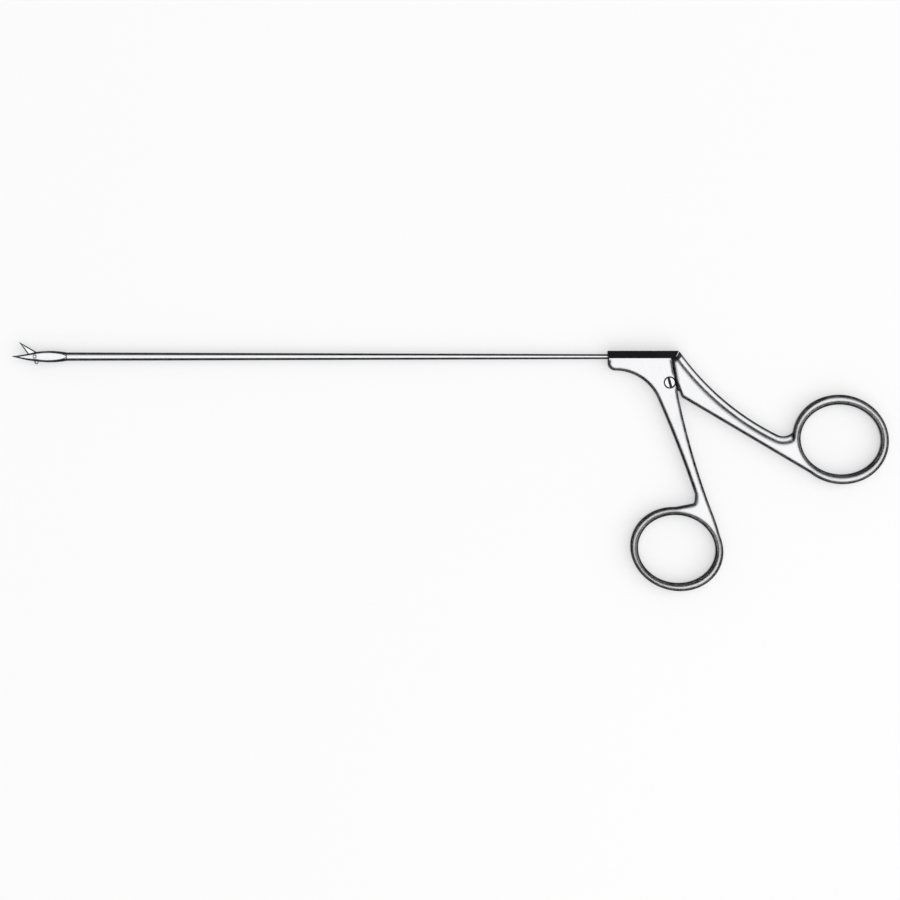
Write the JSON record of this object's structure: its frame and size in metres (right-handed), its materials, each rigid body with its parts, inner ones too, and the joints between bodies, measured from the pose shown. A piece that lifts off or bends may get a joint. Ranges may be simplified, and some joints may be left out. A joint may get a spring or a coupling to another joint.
{
  "type": "surgical scissors",
  "caption": "Long-shaft pistol-grip micro scissors: ring handles at the rear work a drive rod through a thin tube and close one short blade on a fixed one.",
  "frame": {"origin": "on the handle pivot's axis, in the flat underside of the head", "axes": "+X along the shaft from the blades towards the handles, +Y square to the shaft towards the side it is on, +Z through the thickness towards the screw's head"},
  "size_m": [0.3289, 0.0936, 0.0058],
  "materials": {
    "handle_steel": "satin",
    "rail_steel": "black oxide",
    "screw_steel": "polished",
    "shaft_steel": "brushed",
    "blade_steel": "polished"
  },
  "bodies": {
    "frame": {"front_handle": "handle_steel", "top_rail": "rail_steel", "pivot_screw": "screw_steel", "shaft_tube": "shaft_steel", "fixed_blade": "blade_steel", "blade_pivot_pin": "screw_steel"},
    "thumb_lever": {"thumb_handle": "handle_steel"},
    "drive_rod": {"pull_rod": "shaft_steel", "drive_pin": "screw_steel", "rod_barrel": "screw_steel"},
    "cutting_blade": {"moving_blade": "blade_steel"}
  },
  "joints": [
    {"name": "handle_pivot", "type": "hinge", "parent": "frame", "child": "thumb_lever", "pos_m": [0, 0, 0.0028], "axis": [0, 0, -1], "range_deg": [0, 8.97]},
    {"name": "rod_slide", "type": "slide", "parent": "frame", "child": "drive_rod", "axis": [1, 0, 0], "range_m": [0, 0.00153]},
    {"name": "blade_pivot", "type": "hinge", "parent": "frame", "child": "cutting_blade", "pos_m": [-0.2382, 0.00975, 0.0028], "axis": [0, 0, 1], "range_deg": [0, 42]}
  ],
  "couplings": [
    {"joint": "rod_slide", "follows": "handle_pivot", "m_per_rad": 0.00977},
    {"joint": "blade_pivot", "follows": "handle_pivot", "ratio": 4.6809}
  ]
}
